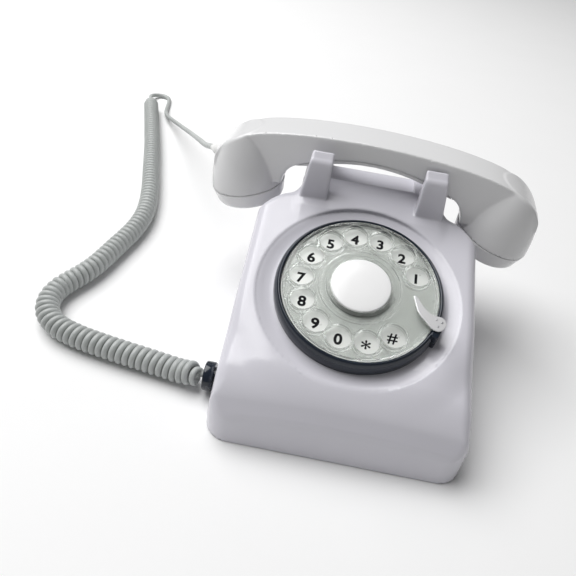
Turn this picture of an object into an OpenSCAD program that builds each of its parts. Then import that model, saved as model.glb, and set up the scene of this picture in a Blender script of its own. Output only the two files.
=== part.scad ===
// Desk telephone with a twelve-hole rotary dial, a cradle with four prongs, a bell and a coiled handset cord.
// Frame: +Z up, the dial faces -Y, +X is the right side seen from the front, z = 0 is the table.
// Sizes are in millimetres.

/* [Housing] */
// Width of the housing at its foot
body_w = 160; // [156:1:166]
// Depth of the housing, front to back
body_d = 210; // [206:1:214]
// Wall thickness of the housing
wall = 2.5; // [2:0.1:3]
// Tilt of the dial face from the table
dial_tilt = 19; // [18:0.5:20]
// Height of the dial centre above the table
dial_z = 77; // [76:0.5:78]
// Height of the housing's lower rim above the table
rim_z = 4; // [4:0.1:4.2]

/* [Cradle] */
// Height of the front prongs above the table
ear_top_z = 126; // [124:0.5:127]
// Width of a prong at its foot
ear_w = 19; // [17:0.5:20]
// Thickness of a front prong
ear_t = 8.5; // [7:0.5:8.5]

/* [Dial] */
// Radius of the circle that the finger holes sit on
hole_circle_r = 38; // [37.8:0.1:38.2]
// Radius of a finger hole
hole_r = 7.8; // [7:0.1:7.9]
// Angle between neighbouring finger holes
hole_pitch = 25.8; // [25.5:0.1:26]
// Radius of the clear finger wheel
wheel_r = 49.2; // [48.8:0.1:49.4]
// Outer radius of the black bezel
bezel_r = 55.7; // [55:0.1:56]
// Radius of the dished recess round the dial
dish_r = 65.2; // [64:0.1:66]

/* [Handset] */
// Radius of the ear and mouth caps
cap_r = 28; // [27:0.5:28]
// Width of the handle, front to back
handle_w = 29; // [27:0.5:29.5]
// Turn of the handset in the cradle
handset_yaw = 4.5; // [4:0.5:4.5]

/* [Cord] */
// Outer diameter of the coil
coil_d = 17.4; // [16:0.1:17.4]
// Diameter of the straight part of the cord
tail_d = 4.6; // [4:0.1:5]

/* [Hidden] */
$fn = 48;
dial_y = -27;
slope_w = -8;
front_y = -body_d / 2;
upper_back_y = 49;
slope_k = tan(dial_tilt);
slope_y0 = dial_y - slope_w * sin(dial_tilt);
slope_z0 = dial_z + slope_w * cos(dial_tilt);
deck_front_z = 62;
deck_back_z = 48;
crest_y = 58;
floor_z = 95;
block_w = 100;
block_back_y = 94;
boss_w = -18;
dial_hole_r = 51;
plate_w = -4;
shaft_r = 3;
run_fit = 0.05;
teeth_drive = 48;
teeth_pinion = 12;
teeth_idler = 40;
teeth_gov = 10;
mod_drive = 1;
mod_gov = 0.8;
idler_dir = 210;
idler_dist = mod_drive * (teeth_drive + teeth_pinion) / 2;
gov_dir = 120;
post_dirs = [45, 150, 285];
gov_dist = mod_gov * (teeth_idler + teeth_gov) / 2;
idler_u = idler_dist * cos(idler_dir);
idler_v = idler_dist * sin(idler_dir);
gov_u = idler_u + gov_dist * cos(gov_dir);
gov_v = idler_v + gov_dist * sin(gov_dir);
handset_y = 66.5;
cap_x = 93;
cap_seam_z = 79;
cap_lean = 14;
cone_lean = 8;
cover_screw_turn = 10.7;
cap_h = 13;
boot_z = 97;
under_r = 118.7;
under_z = -1.7;
plunger_x = 40;
plunger_r = 3.5;
plunger_y = 66.5;
saddle_gap = 1.2;
prong_y = 38.5;
hook_y = 42;
hook_z = 66;
hook_top = 70;
board_y = 50;
rear_prong_y = 86.2;
socket_y = -68;
socket_z = 13;
coil_r = coil_d / 2;
gong_x = 25;
gong_y = -74;
clapper_y = -50;
foot_x = 58;
foot_y = 86;
post_x = 66;
post_y = 60;

coil_route = [
    [-88.1, -68, 13], [-91, -68, 13], [-95, -67.4, 12], [-104, -65.4, 9.4], [-117, -63.4, 8.8],
    [-130, -61.4, 8.8], [-143, -59.6, 8.8],
    [-156, -57.6, 8.8], [-170, -55.2, 8.8], [-183, -52.4, 8.8], [-196, -48, 8.8], [-206, -41.2, 8.8],
    [-212.6, -32, 8.8], [-215.2, -21, 8.8], [-213.6, -10, 8.8], [-209, 0, 8.8], [-204, 10, 8.8],
    [-199.6, 22, 8.8], [-196.6, 35, 8.8], [-193.8, 49, 8.8], [-190.8, 63, 8.8], [-188.6, 77, 8.8],
    [-188, 92, 8.8], [-189.4, 107, 8.8], [-192.4, 122, 8.8], [-196.6, 138, 8.8], [-201.8, 155, 8.8],
    [-207.4, 172, 8.8], [-213.2, 190, 8.8], [-219, 208, 8.8], [-225, 226, 8.8], [-231.4, 244, 8.8],
    [-237.8, 262, 8.8], [-244.2, 280, 8.8], [-250.8, 298, 8.8], [-257.4, 316, 8.8]
];
tail_route = [
    [-257.5, 316.1, 8.8], [-263, 332, 8.8], [-267, 343, 8.6], [-270, 350, 5.4], [-276, 353, 3],
    [-280, 350, 2.4], [-277, 345.6, 2.4], [-272, 341.4, 2.4],
    [-266, 336.4, 2.5], [-259.6, 331, 2.6], [-253, 325, 2.9], [-246.2, 318, 3.6], [-239, 309.8, 5],
    [-231.4, 300.2, 7.2], [-223.4, 289, 10.2], [-215.2, 276.4, 14], [-206.6, 262.6, 18.6], [-197.8, 247, 24],
    [-188.8, 230.6, 30.2], [-179.6, 212.6, 37.2], [-170.2, 193, 45], [-161, 172.6, 53.4], [-152, 152.4, 61.8],
    [-143.4, 131.8, 70.4], [-136.4, 114.8, 78.4], [-130.6, 100.4, 86], [-126.6, 91.6, 90.4],
    [-124.4, 87.2, 92.4]
];

function arc_points(cx, cy, r, from, to, steps) =
    [for (i = [0:steps]) let (a = from + (to - from) * i / steps) [cx + r * cos(a), cy + r * sin(a)]];
function slope_z(y) = slope_z0 + (y - slope_y0) * slope_k;
function unit(v) = v / norm(v);
function around(i, steps) = [cos(360 * i / steps), sin(360 * i / steps)];
function last(path) = path[len(path) - 1];
function side_of(path, i) =
    unit(cross(unit(path[min(i + 1, len(path) - 1)] - path[max(i - 1, 0)]), [0, 0, 1]));
function up_of(path, i) =
    unit(cross(side_of(path, i), unit(path[min(i + 1, len(path) - 1)] - path[max(i - 1, 0)])));
function tooth(i, n, m, out, low) =
    let (p = 360 / n, a = i * p, r = m * n / 2)
    [
        [(r - low * m) * cos(a - 0.33 * p), (r - low * m) * sin(a - 0.33 * p)],
        [r * cos(a - 0.2 * p), r * sin(a - 0.2 * p)],
        [(r + out * m) * cos(a - 0.09 * p), (r + out * m) * sin(a - 0.09 * p)],
        [(r + out * m) * cos(a + 0.09 * p), (r + out * m) * sin(a + 0.09 * p)],
        [r * cos(a + 0.2 * p), r * sin(a + 0.2 * p)],
        [(r - low * m) * cos(a + 0.33 * p), (r - low * m) * sin(a + 0.33 * p)]
    ];

module at_dial() {
    translate([0, dial_y, dial_z])
        rotate([dial_tilt, 0, 0])
            children();
}

module at_handset() {
    translate([0, handset_y, 0])
        rotate([0, 0, -handset_yaw])
            children();
}

module at_cap(side) {
    translate([side * cap_x, 0, cap_seam_z])
        rotate([0, side * cap_lean, 0])
            children();
}

module tube_along(path, r, sides) {
    rings = len(path);
    points = [for (i = [0:rings - 1]) for (k = [0:sides - 1])
        path[i] + r * cos(360 * k / sides) * side_of(path, i) + r * sin(360 * k / sides) * up_of(path, i)];
    walls = [for (i = [0:rings - 2]) for (k = [0:sides - 1])
        [i * sides + k, i * sides + (k + 1) % sides, (i + 1) * sides + (k + 1) % sides, (i + 1) * sides + k]];
    start = [[for (k = [sides - 1:-1:0]) k]];
    finish = [[for (k = [0:sides - 1]) (rings - 1) * sides + k]];
    polyhedron(points = points, faces = concat(walls, start, finish), convexity = 8);
}

module gear(n, m, thick, bore) {
    linear_extrude(thick)
        difference() {
            polygon([for (i = [0:n - 1]) each tooth(i, n, m, 0.8, 1.1)]);
            circle(r = bore);
        }
}

module ring(outer, inner, low, high) {
    translate([0, 0, low])
        linear_extrude(high - low)
            difference() {
                circle(r = outer);
                circle(r = inner);
            }
}

module disc(r, low, high) {
    translate([0, 0, low])
        cylinder(h = high - low, r = r);
}

// Outline seen from above: a rectangle with its own corner radius at the front and at the back.
module plan(half_w, front, back, r_front, r_back) {
    polygon(concat(
        arc_points(half_w - r_back, back - r_back, r_back, 0, 90, 10),
        arc_points(-half_w + r_back, back - r_back, r_back, 90, 180, 10),
        arc_points(-half_w + r_front, front + r_front, r_front, 180, 264, 8),
        arc_points(half_w - r_front, front + r_front, r_front, 276, 360, 8)
    ));
}

// The side walls: they lean in towards the dial face and roll into it.
module leaning_sides(t) {
    at_dial()
        rotate([90, 0, 0])
            translate([0, 0, -130])
                linear_extrude(260)
                    polygon(concat(
                        arc_points(body_w / 2 - 3 - 9, slope_w - 9, 9 - t, 5, 90, 8),
                        arc_points(-body_w / 2 + 3 + 9, slope_w - 9, 9 - t, 90, 175, 8),
                        [[-body_w / 2 - 6 + t, -110], [body_w / 2 + 6 - t, -110]]
                    ));
}

// The dial part: its front wall leans back a little and rolls into the sloping dial face.
module dial_part(t, low) {
    edge_y = front_y + 3 + t;
    edge_z = slope_z(edge_y) - t / cos(dial_tilt);
    roll = 9 - t;
    turn = (90 - dial_tilt) / 2;
    intersection() {
        translate([0, 0, low])
            linear_extrude(140)
                plan(body_w / 2 - t, front_y + t, upper_back_y - t, 15 - t, 32 - t);
        rotate([90, 0, 90])
            translate([0, 0, -100])
                linear_extrude(200)
                    polygon(concat(
                        [[upper_back_y + 5, low], [front_y + t, low]],
                        arc_points(
                            edge_y + roll,
                            edge_z - roll * tan(turn),
                            roll, 180, 90 + dial_tilt, 8
                        ),
                        [[upper_back_y + 5, slope_z(upper_back_y + 5) - t / cos(dial_tilt)]]
                    ));
        leaning_sides(t);
    }
}

// The low rear deck behind the dial part.
module deck_part(t, low) {
    intersection() {
        translate([0, 0, low])
            linear_extrude(100)
                plan(body_w / 2 - t, -30, -front_y - t, 15, 24 - t);
        rotate([90, 0, 90])
            translate([0, 0, -100])
                linear_extrude(200)
                    polygon(concat(
                        [[-40, low]],
                        [[-40, deck_front_z - t], [20, deck_front_z - t]],
                        arc_points(-front_y - 3 - 12, deck_back_z - 12, 12 - t, 80, 4, 8),
                        [[-front_y - t, low]]
                    ));
        leaning_sides(t);
    }
}

// The narrow block that carries the cradle.
module cradle_part(t, low) {
    rotate([90, 0, 90])
        translate([0, 0, -block_w / 2 + t])
            linear_extrude(block_w - 2 * t)
                polygon([
                    [20, low],
                    [20, 76 - t],
                    [34, slope_z(34) - 0.2 - 1.3 * t],
                    [crest_y - t, slope_z(crest_y) + 3.3 - 1.3 * t],
                    [crest_y - t, floor_z - t],
                    [block_back_y - 8 - t, floor_z - t],
                    [block_back_y - t, floor_z - 8 - t],
                    [block_back_y + 5 - t, deck_back_z - 2],
                    [block_back_y + 5 - t, low]
                ]);
}

module body_form(t, low) {
    dial_part(t, low);
    deck_part(t, low);
    cradle_part(t, low);
}

// Profile of the handset's underside as a disc lying along Y.
module under_cut(extra) {
    translate([0, handset_y + 30, under_z])
        rotate([90, 0, 0])
            cylinder(h = 60, r = under_r + extra, $fn = 96);
}

// One side of the cradle: a saddle between a front and a rear prong.
module cradle_side() {
    foot = 31;
    difference() {
        rotate([90, 0, 90])
            translate([0, 0, foot])
                linear_extrude(ear_w)
                    polygon(concat(
                        [[rear_prong_y + 5, 88], [prong_y, 88]],
                        arc_points(prong_y + 5, ear_top_z - 8, 5, 180, 110, 6),
                        [[prong_y + ear_t, ear_top_z], [prong_y + ear_t, 110], [rear_prong_y, 110]],
                        [
                            [rear_prong_y, ear_top_z - 4], [rear_prong_y + 3.6, ear_top_z - 4],
                            [rear_prong_y + 5, 108]
                        ]
                    ));
        translate([foot - 4, 30, 96])
            rotate([0, 3.5, 0])
                translate([-10, 0, 0])
                    cube([12, 70, 50]);
        translate([foot + ear_w, 30, 96])
            rotate([0, -8, 0])
                cube([12, 70, 50]);
        intersection() {
            difference() {
                translate([foot - 5, prong_y + ear_t, 60])
                    cube([ear_w + 10, rear_prong_y - prong_y - ear_t, 80]);
                translate([0, 0, -saddle_gap])
                    under_cut(-0.3);
            }
            translate([0, 0, 100])
                cube([100, 100, 60]);
        }
        translate([plunger_x, plunger_y, 50])
            cylinder(h = 80, r = plunger_r + 0.4);
    }
}

module housing_post(x, y) {
    translate([x, y, rim_z])
        cylinder(h = 120, r = 4.5);
}

module housing() {
    color([0.86, 0.85, 0.88])
        difference() {
            union() {
                difference() {
                    body_form(0, rim_z);
                    difference() {
                        body_form(wall, rim_z - 1);
                        at_dial()
                            ring(dish_r + 3, dial_hole_r - 3, boss_w, 0);
                        housing_post(-post_x, -post_y);
                        housing_post(post_x, -post_y);
                        housing_post(-post_x, post_y);
                        housing_post(post_x, post_y);
                    }
                }
                cradle_side();
                mirror([1, 0, 0])
                    cradle_side();
            }
            at_dial() {
                disc(dial_hole_r, -60, 10);
                rotate_extrude($fn = 96)
                    polygon([[0, 20], [dish_r, 20], [dish_r, slope_w - 0.3], [61, -10], [56.5, -11], [0, -11]]);
                for (a = [30, 150, 270])
                    rotate([0, 0, a])
                        translate([60, 0, boss_w - 1])
                            cylinder(h = 5, r = 1.5);
            }
            for (x = [-post_x, post_x])
                for (y = [-post_y, post_y])
                    translate([x, y, rim_z - 1])
                        cylinder(h = 13, r = 1.5);
            for (s = [-1, 1])
                translate([s * plunger_x, plunger_y, 50])
                    cylinder(h = 80, r = plunger_r + 0.4);
            translate([-90, socket_y, socket_z])
                rotate([0, 90, 0])
                    cylinder(h = 20, r = 6.5);
            translate([30, 90, 10])
                cube([16, 30, 14]);
        }
}

module base_plate() {
    color([0.05, 0.05, 0.06])
        difference() {
            translate([0, 0, 1.5])
                linear_extrude(rim_z - 1.5)
                    plan(body_w / 2 - 1, front_y + 1, -front_y - 1, 14, 23);
            for (x = [-foot_x, foot_x])
                for (y = [-foot_y, foot_y])
                    translate([x, y, 0])
                        cylinder(h = 3, r = 7);
            for (x = [-post_x, post_x])
                for (y = [-post_y, post_y])
                    translate([x, y, 0]) {
                        cylinder(h = 2.7, r = 3.2);
                        cylinder(h = 6, r = 1.6);
                    }
        }
}

module rubber_feet() {
    color([0.08, 0.08, 0.08])
        for (x = [-foot_x, foot_x])
            for (y = [-foot_y, foot_y])
                translate([x, y, 0])
                    cylinder(h = 3, r = 7);
}

module screw(head_r, head_h, shank_r, shank_h) {
    difference() {
        cylinder(h = head_h, r = head_r);
        translate([-head_r, -0.4, -0.1])
            cube([2 * head_r, 0.8, head_h * 0.5 + 0.1]);
    }
    translate([0, 0, head_h])
        cylinder(h = shank_h, r = shank_r);
}

module base_screws() {
    color([0.7, 0.7, 0.72])
        for (x = [-post_x, post_x])
            for (y = [-post_y, post_y])
                translate([x, y, 1.5])
                    screw(3, 1.2, 1.45, 12);
}

module dial_bezel() {
    color([0.05, 0.06, 0.09])
        at_dial() {
            rotate_extrude($fn = 96)
                polygon([
                    [50.2, -5.2], [50.2, -1.4], [50.9, -0.7], [52, -0.6], [53.6, -1.6], [55, -4],
                    [bezel_r, -7],
                    [bezel_r, -11], [50.8, -11], [50.8, boss_w], [48.6, boss_w], [48.6, -7],
                    [46.5, -7], [46.5, -5.2]
                ]);
            rotate([0, 0, -26.5])
                translate([54.4, 0, -6.5]) {
                    translate([-1.6, -6.5, -4])
                        cube([4.2, 13, 4]);
                    translate([-3, -5, 0])
                        cube([5.2, 10, 7.6]);
                }
        }
}

module number_plate() {
    color([0.82, 0.84, 0.82])
        at_dial()
            ring(50, 5.6, -5.2, plate_w);
}

module finger_stop() {
    color([0.93, 0.93, 0.94])
        at_dial()
            translate([0, 0, 1.1])
                linear_extrude(1.2)
                    polygon([
                        [33.2, -2.2], [33.8, -1.4], [34.6, -1.4], [35, -2.2], [36.1, -6], [37.9, -9.6], [41.3, -11.6],
                        [44.9, -12.6], [47.6, -12.5], [50.4, -13.6], [53.2, -17], [54.4, -21.4], [53, -26.6],
                        [49.2, -26], [48.6, -22.6], [45.9, -22.6], [42.4, -21.4], [38.4, -18.1], [35, -11.9], [33.6, -5.8]
                    ]);
}

module stop_rivets() {
    color([0.6, 0.6, 0.62])
        at_dial()
            for (p = [[50.4, -18.6], [51.4, -22.2], [50.4, -25]])
                translate([p[0], p[1], 2.3])
                    cylinder(h = 0.5, r = 0.7, $fn = 16);
}

module cord_socket() {
    color([0.05, 0.05, 0.06])
        translate([-88, socket_y, socket_z])
            rotate([0, 90, 0]) {
                ring(9.6, 3.2, 0, 6.5);
                ring(6.4, 3.2, 6.5, 16);
            }
}

module line_jack() {
    color([0.85, 0.84, 0.8])
        difference() {
            translate([30.2, 88, 10.2])
                cube([15.6, 16.6, 13.6]);
            translate([32.4, 92, 13])
                cube([11.2, 20, 8]);
        }
}

module dial_frame() {
    color([0.72, 0.73, 0.75])
        at_dial() {
            difference() {
                disc(66, boss_w - 1.5, boss_w);
                disc(shaft_r + run_fit, -30, 0);
                for (a = [30, 150, 270])
                    rotate([0, 0, a])
                        translate([60, 0, -30])
                            cylinder(h = 30, r = 1.6);
                for (a = post_dirs)
                    rotate([0, 0, a])
                        translate([45, 0, -30])
                            cylinder(h = 30, r = 1.2);
                translate([idler_u, idler_v, -30])
                    cylinder(h = 30, r = 2);
            }
            ring(5, shaft_r + run_fit, boss_w, -5.6);
            for (a = post_dirs)
                rotate([0, 0, a])
                    translate([45, 0, 0])
                        ring(3.5, 1.2, -41, boss_w - 1.5);
        }
}

module dial_screws() {
    color([0.7, 0.7, 0.72])
        at_dial()
            for (a = [30, 150, 270])
                rotate([0, 0, a])
                    translate([60, 0, boss_w - 3.5])
                        screw(2.8, 2, 1.45, 4.8);
}

module dial_bridge() {
    color([0.72, 0.73, 0.75])
        at_dial()
            difference() {
                translate([0, 0, -42.5])
                    linear_extrude(1.5)
                        polygon([for (a = [5:40:325]) [50 * cos(a), 50 * sin(a)]]);
                disc(shaft_r + run_fit, -50, -30);
                translate([idler_u, idler_v, -50])
                    cylinder(h = 20, r = 2);
                translate([gov_u, gov_v, -50])
                    cylinder(h = 20, r = 1.25);
                for (a = post_dirs)
                    rotate([0, 0, a])
                        translate([45, 0, -50])
                            cylinder(h = 20, r = 1.2);
            }
}

module bridge_screws() {
    color([0.7, 0.7, 0.72])
        at_dial()
            for (a = post_dirs)
                rotate([0, 0, a])
                    translate([45, 0, -44])
                        screw(2.4, 1.5, 1.15, 6);
}

module idler_pin() {
    color([0.65, 0.65, 0.68])
        at_dial()
            translate([idler_u, idler_v, 0])
                disc(2, -43.2, boss_w);
}

module governor_cup() {
    color([0.78, 0.66, 0.35])
        at_dial()
            translate([gov_u, gov_v, 0]) {
                ring(11.5, 10.4, -39, -32);
                ring(11.5, 1.25, -41, -39);
            }
}

module contact_block() {
    color([0.35, 0.2, 0.1])
        at_dial()
            translate([26, -14, -40.9])
                cube([9, 7, 21.4]);
}

module contact_springs() {
    color([0.85, 0.75, 0.45])
        at_dial()
            for (w = [-38, -34.6])
                translate([2, -11.1, w])
                    cube([24, 0.5, 2.4]);
}

module finger_wheel() {
    color([0.9, 0.93, 0.93, 0.4])
        at_dial()
            difference() {
                union() {
                    disc(wheel_r, -2.5, 0);
                    ring(27, 19.4, -0.5, 1.4);
                    ring(wheel_r, 47.4, -0.5, 0.6);
                    for (i = [0:11])
                        rotate([0, 0, 24 + i * hole_pitch])
                            translate([hole_circle_r, 0, 0])
                                disc(9.1, -3.4, 0.5);
                }
                for (i = [0:11])
                    rotate([0, 0, 24 + i * hole_pitch])
                        translate([hole_circle_r, 0, -10])
                            cylinder(h = 20, r = hole_r);
                disc(1.6, -10, 10);
            }
}

module centre_disc() {
    color([0.97, 0.97, 0.97])
        at_dial()
            rotate_extrude($fn = 96)
                polygon([
                    [0, 3.6], [14, 3.4], [18, 2.6], [19.1, 1.6], [19.1, 0], [17.5, 0], [17.5, 1.6],
                    [13, 2.2], [0, 2.4]
                ]);
}

module hub_screw() {
    color([0.7, 0.7, 0.72])
        at_dial() {
            disc(3.2, 0, 1.8);
            disc(1.55, -9, 0);
        }
}

module dial_shaft() {
    color([0.75, 0.75, 0.78])
        at_dial()
            difference() {
                union() {
                    disc(shaft_r, -46, -2.5);
                    disc(8, -3.6, -2.5);
                }
                disc(1.55, -12, 0);
            }
}

module drive_gear() {
    color([0.85, 0.7, 0.4])
        at_dial() {
            translate([0, 0, -24])
                rotate([0, 0, idler_dir])
                    gear(teeth_drive, mod_drive, 3, shaft_r);
            ring(6, shaft_r + 0.3, -26, -24);
        }
}

module pulse_cam() {
    color([0.9, 0.9, 0.86])
        at_dial() {
            translate([0, 0, -38.5])
                linear_extrude(6)
                    difference() {
                        polygon([for (a = [0:10:350]) (9 + 1.2 * cos(a * 12 + 60)) * [cos(a), sin(a)]]);
                        circle(r = shaft_r);
                    }
        }
}

module main_spring() {
    turns = 4;
    steps = 20;
    outer = 11.6;
    inner = 3.8;
    grow = (outer - inner) / (turns * steps);
    color([0.45, 0.45, 0.5])
        at_dial()
            translate([0, 0, -31])
                linear_extrude(4)
                    polygon(concat(
                        [for (i = [0:turns * steps]) (inner + grow * i) * around(i, steps)],
                        [for (i = [turns * steps:-1:0]) (inner + 0.5 + grow * i) * around(i, steps)]
                    ));
}

module idler_gear() {
    color([0.85, 0.7, 0.4])
        at_dial()
            translate([idler_u, idler_v, 0]) {
                translate([0, 0, -24])
                    rotate([0, 0, idler_dir + 180 + 180 / teeth_pinion])
                        gear(teeth_pinion, mod_drive, 3, 2 + run_fit);
                ring(4.4, 2.4, -28, -24);
                translate([0, 0, -30])
                    rotate([0, 0, gov_dir])
                        gear(teeth_idler, mod_gov, 2, 2 + run_fit);
            }
}

module governor_rotor() {
    color([0.75, 0.75, 0.78])
        at_dial()
            translate([gov_u, gov_v, 0]) {
                translate([0, 0, -30.5])
                    rotate([0, 0, gov_dir + 180 + 180 / teeth_gov])
                        gear(teeth_gov, mod_gov, 3.5, 1.2);
                disc(1.2, -43, -26);
                translate([-7, -1.6, -34])
                    cube([14, 3.2, 1]);
            }
}

module governor_weights() {
    color([0.6, 0.6, 0.62])
        at_dial()
            translate([gov_u, gov_v, 0])
                for (s = [-1, 1])
                    translate([s * 6.4, 0, -37.5])
                        cylinder(h = 3.5, r = 2.8);
}

module hook_plungers() {
    color([0.9, 0.9, 0.92])
        for (s = [-1, 1])
            translate([s * plunger_x, plunger_y, 72.4])
                cylinder(h = 35.8, r = plunger_r);
}

module hook_lever() {
    color([0.75, 0.75, 0.78])
        difference() {
            union() {
                for (s = [-1, 1])
                    translate([s * plunger_x - 5, hook_y - 4, hook_top])
                        cube([10, 31.5, 2]);
                translate([-plunger_x - 5, hook_y - 4, hook_top])
                    cube([2 * plunger_x + 10, 10, 2]);
                for (s = [-1, 1])
                    translate([s * 30 - 1.5, hook_y - 3.5, hook_z - 3])
                        cube([3, 7, 5 + hook_top - hook_z]);
                translate([-3, hook_y - 12, hook_top])
                    cube([6, 12, 2]);
                translate([-5, hook_y, hook_top])
                    cube([10, 16, 2]);
            }
            hook_axis(1.55, 45);
        }
}

module hook_axis(r, half) {
    translate([-half, hook_y, hook_z])
        rotate([0, 90, 0])
            cylinder(h = 2 * half, r = r);
}

module hook_bracket() {
    color([0.72, 0.73, 0.75])
        difference() {
            union() {
                for (s = [-1, 1])
                    translate([s * 26 - 1, hook_y - 4, rim_z])
                        cube([2, 8, hook_z + 3 - rim_z]);
                translate([-27, hook_y - 4, rim_z])
                    cube([54, 8, 1.5]);
                translate([-27, hook_y - 5, 54])
                    cube([54, 1.5, 12]);
                translate([-5, hook_y - 4, 56])
                    cube([10, 20, 1.6]);
            }
            hook_axis(1.5, 45);
        }
}

module hook_pin() {
    color([0.65, 0.65, 0.68])
        hook_axis(1.5, 34);
}

module hook_spring() {
    color([0.5, 0.5, 0.55])
        translate([0, hook_y + 11, 57.6])
            ring(3.5, 2.5, 0, hook_top - 57.9);
}

module hook_switch() {
    color([0.1, 0.1, 0.12]) {
        translate([-10, hook_y - 11, 56])
            cube([20, 6, 9]);
        translate([-1, hook_y - 9.5, 65])
            cube([2, 3, hook_top - 67]);
    }
}

module board_holes() {
    for (x = [-45, 19])
        for (y = [5, 41])
            translate([x, board_y + y, 0])
                children();
}

module circuit_board() {
    color([0.1, 0.35, 0.2]) {
        difference() {
            translate([-50, board_y, 12])
                cube([74, 46, 1.6]);
            board_holes()
                cylinder(h = 30, r = 1.6);
        }
        board_holes()
            ring(3, 1.6, rim_z, 12);
    }
}

module board_screws() {
    color([0.7, 0.7, 0.72])
        board_holes()
            translate([0, 0, 15.4])
                rotate([180, 0, 0])
                    screw(2.8, 1.8, 1.5, 8);
}

module transformer() {
    color([0.35, 0.35, 0.38]) {
        translate([-40, board_y + 12, 13.6])
            cube([24, 20, 18]);
        translate([-36, board_y + 9, 16])
            cube([16, 26, 13]);
    }
}

module capacitors() {
    color([0.15, 0.2, 0.4]) {
        translate([-6, board_y + 32, 13.6])
            cylinder(h = 14, r = 5);
        translate([7, board_y + 32, 13.6])
            cylinder(h = 11, r = 4);
        translate([-6, board_y + 8, 13.6])
            cylinder(h = 8, r = 3);
    }
}

module line_chips() {
    color([0.08, 0.08, 0.09]) {
        translate([2, board_y + 4, 13.6])
            cube([7, 18, 3.4]);
        translate([-12, board_y + 16, 13.6])
            cube([9, 6, 3]);
    }
}

module terminal_block() {
    color([0.2, 0.45, 0.25])
        translate([12, board_y + 10, 13.6])
            difference() {
                cube([9, 24, 9]);
                for (i = [0:3])
                    translate([4.5, 3.6 + i * 5.6, 5])
                        cylinder(h = 5, r = 1.6);
            }
}

module ringer_frame() {
    color([0.72, 0.73, 0.75]) {
        translate([-46, -84, rim_z])
            cube([92, 20, 1.5]);
        translate([-9, -64, rim_z])
            cube([18, 36, 1.5]);
        for (s = [-1, 1])
            translate([s * gong_x, gong_y, 0])
                ring(4, 1.5, 5.5, 17.5);
        translate([0, clapper_y, 5.5]) {
            cylinder(h = 7, r = 2.2);
            cylinder(h = 12, r = 0.9);
        }
    }
}

module ringer_coil() {
    color([0.7, 0.35, 0.15])
        translate([0, clapper_y + 6, 12.9])
            rotate([-90, 0, 0]) {
                ring(6.4, 2, 0, 14);
                ring(7.4, 2, 0, 1);
                ring(7.4, 2, 13, 14);
            }
}

module clapper() {
    color([0.75, 0.75, 0.78])
        difference() {
            union() {
                translate([-1, -76, 14])
                    cube([2, clapper_y + 79, 1.2]);
                translate([0, -76, 7])
                    cylinder(h = 8.2, r = 2.6);
                translate([0, clapper_y, 13])
                    cylinder(h = 3.2, r = 2.4);
                translate([-5, clapper_y + 2.6, 11])
                    cube([10, 1.6, 5]);
            }
            translate([0, clapper_y, 5])
                cylinder(h = 20, r = 0.9 + run_fit);
        }
}

module gong(s) {
    translate([s * gong_x, gong_y, 17.5])
        rotate_extrude($fn = 64)
            polygon([
                [1.6, 0], [8, 0], [14, -1.6], [18.6, -5], [20.4, -10], [19.4, -10],
                [17.7, -5.8], [13.4, -2.8], [7.8, -1.2], [4.2, -1.2], [4.2, 0]
            ]);
}

module gong_left() {
    color([0.8, 0.78, 0.72])
        gong(-1);
}

module gong_right() {
    color([0.8, 0.78, 0.72])
        gong(1);
}

module gong_screws() {
    color([0.7, 0.7, 0.72])
        for (s = [-1, 1])
            translate([s * gong_x, gong_y, 19.5])
                rotate([180, 0, 0])
                    screw(3.6, 2, 1.45, 10);
}

// The handset's outer line seen from the front, from its left end over the top to its right end.
function handset_half(t) = [
    [-117.4 + t, 96.5], [-116 + t, 103], [-111 + t, 110 - t], [-103 + t, 116.6 - t], [-93, 121.8 - t],
    [-80, 126 - t], [-60, 129.6 - t], [-40, 131.8 - t], [-20, 133 - t], [0, 133.4 - t]
];
function handset_line(t) =
    let (half = handset_half(t))
    concat(half, [for (i = [len(half) - 2:-1:0]) [-half[i][0], half[i][1]]]);

module handset_side(t) {
    polygon(concat([[-115 + t, 89]], handset_line(t), [[115 - t, 89]]));
}

module handset_cone(side, t) {
    difference() {
        translate([side * cap_x, 0, cap_seam_z])
            rotate([0, side * cone_lean, 0])
                translate([0, 0, -8])
                    cylinder(h = 54, r1 = cap_r + 2 - t, r2 = 14.5 - t);
        at_cap(side)
            translate([-60, -60, -60])
                cube([120, 120, 60]);
    }
}

module handset_form(t) {
    intersection() {
        union() {
            difference() {
                rotate([90, 0, 0])
                    translate([0, 0, -handle_w / 2 + t])
                        linear_extrude(handle_w - 2 * t)
                            handset_side(t);
                translate([0, 0, under_z])
                    rotate([90, 0, 0])
                        cylinder(h = 80, r = under_r + 2.6 + t, center = true, $fn = 96);
            }
            handset_cone(-1, t);
            handset_cone(1, t);
        }
        rotate([90, 0, 0])
            translate([0, 0, -50])
                linear_extrude(100)
                    polygon(concat([[-127, 60], [-127, 96.5]], handset_line(t), [[127, 96.5], [127, 60]]));
    }
}

module handset_shell() {
    color([0.9, 0.9, 0.9])
        difference() {
            at_handset()
                difference() {
                    handset_form(0);
                    handset_form(2.4);
                    at_cap(-1)
                        disc(cap_r - 2.4, -1, 4);
                    at_cap(1)
                        disc(cap_r - 2.4, -1, 4);
                    at_cover_screws()
                        cylinder(h = 8, r = 1.4);
                }
            boot_form(run_fit);
        }
}

// Places its children on the underside of the handle, pointing up into it.
module at_cover_screws() {
    for (s = [-1, 1])
        translate([0, 0, under_z])
            rotate([0, s * cover_screw_turn, 0])
                translate([0, 0, under_r])
                    children();
}

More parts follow.
